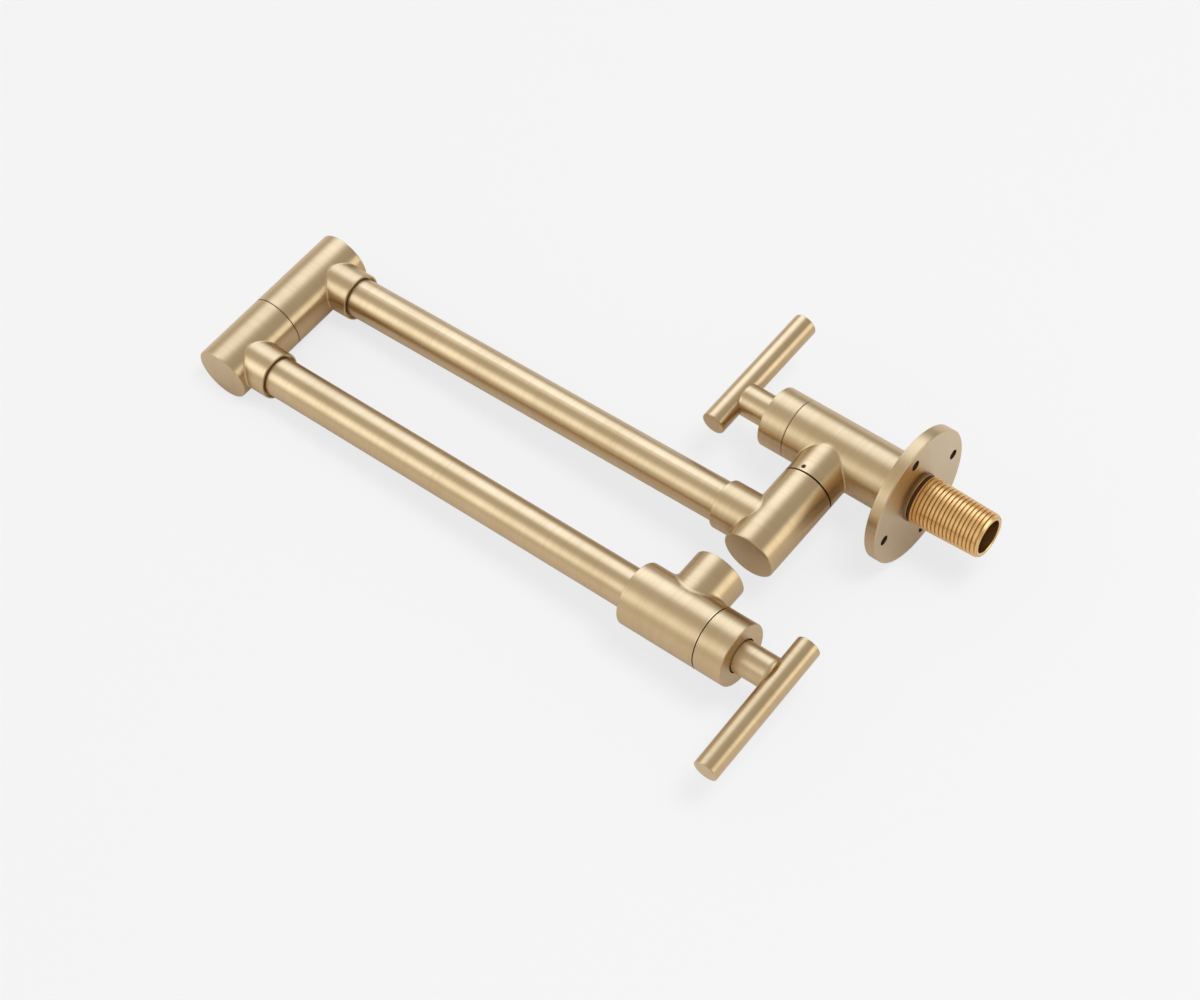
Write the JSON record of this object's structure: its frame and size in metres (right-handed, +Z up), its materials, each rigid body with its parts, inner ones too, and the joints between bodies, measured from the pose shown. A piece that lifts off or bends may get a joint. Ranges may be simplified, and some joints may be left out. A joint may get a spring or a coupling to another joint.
{
  "type": "wall mounted pot filler",
  "caption": "Wall mounted pot filler with two folding arms on swivels, a quarter turn valve at the wall and one at the spout, and bar handles.",
  "frame": {"origin": "centre of the wall flange's wall face, on the axis of the inlet shank", "axes": "+Y into the wall along the inlet shank, +Z up as installed, +X to the right of someone facing the wall"},
  "size_m": [0.061, 0.3355, 0.1948],
  "materials": {
    "satin_gold": "brushed satin, pale gold coating",
    "raw_brass": "machined, bright",
    "plain_brass": "machined",
    "black_rubber": "matt",
    "white_ceramic": "lapped ceramic",
    "bright_steel": "plain",
    "white_plastic": "moulded"
  },
  "bodies": {
    "wall_side": {"wall_flange": "satin_gold", "inlet_shank": "raw_brass", "shank_seal": "black_rubber", "inlet_valve_body": "satin_gold", "swivel_screw": "bright_steel", "inlet_bonnet": "satin_gold", "inlet_cartridge_body": "plain_brass", "inlet_cartridge_seal": "black_rubber", "inlet_cartridge_ring": "black_rubber", "inlet_fixed_disc": "white_ceramic"},
    "inlet_handle": {"inlet_moving_disc": "white_ceramic", "inlet_spindle": "plain_brass", "inlet_spindle_ring": "black_rubber", "inlet_spindle_clip": "bright_steel", "inlet_handle_hub": "satin_gold", "inlet_handle_bar": "satin_gold", "inlet_bar_stud": "bright_steel", "inlet_grub_screw": "bright_steel"},
    "first_arm": {"elbow_stub": "plain_brass", "elbow_stub_rings": "black_rubber", "elbow_washer": "black_rubber", "elbow_body": "satin_gold", "first_tube": "satin_gold", "mid_lower_body": "satin_gold", "mid_washer": "black_rubber"},
    "second_arm": {"mid_stub": "plain_brass", "mid_stub_rings": "black_rubber", "mid_snap_ring": "bright_steel", "mid_upper_body": "satin_gold", "second_tube": "satin_gold", "outlet_valve_body": "satin_gold", "outlet_bonnet": "satin_gold", "outlet_cartridge_body": "plain_brass", "outlet_cartridge_seal": "black_rubber", "outlet_cartridge_ring": "black_rubber", "outlet_fixed_disc": "white_ceramic", "aerator_housing": "plain_brass", "aerator_insert": "white_plastic", "aerator_washer": "black_rubber"},
    "outlet_handle": {"outlet_moving_disc": "white_ceramic", "outlet_spindle": "plain_brass", "outlet_spindle_ring": "black_rubber", "outlet_spindle_clip": "bright_steel", "outlet_handle_hub": "satin_gold", "outlet_handle_bar": "satin_gold", "outlet_bar_stud": "bright_steel", "outlet_grub_screw": "bright_steel"}
  },
  "joints": [
    {"name": "elbow_swivel", "type": "hinge", "parent": "wall_side", "child": "first_arm", "pos_m": [0, -0.039, 0.023], "axis": [0, 0, 1], "range_deg": [-92.4, 87.6]},
    {"name": "mid_swivel", "type": "hinge", "parent": "first_arm", "child": "second_arm", "pos_m": [0.01047, -0.28878, 0.0782], "axis": [0, 0, 1], "continuous": true},
    {"name": "inlet_handle_turn", "type": "hinge", "parent": "wall_side", "child": "inlet_handle", "pos_m": [0, -0.0715, 0], "axis": [0, -1, 0], "range_deg": [0, 90]},
    {"name": "outlet_handle_turn", "type": "hinge", "parent": "second_arm", "child": "outlet_handle", "pos_m": [0.00225, -0.02731, 0.1001], "axis": [-0.0314, 0.9995, 0], "range_deg": [-2.4, 87.6]}
  ]
}
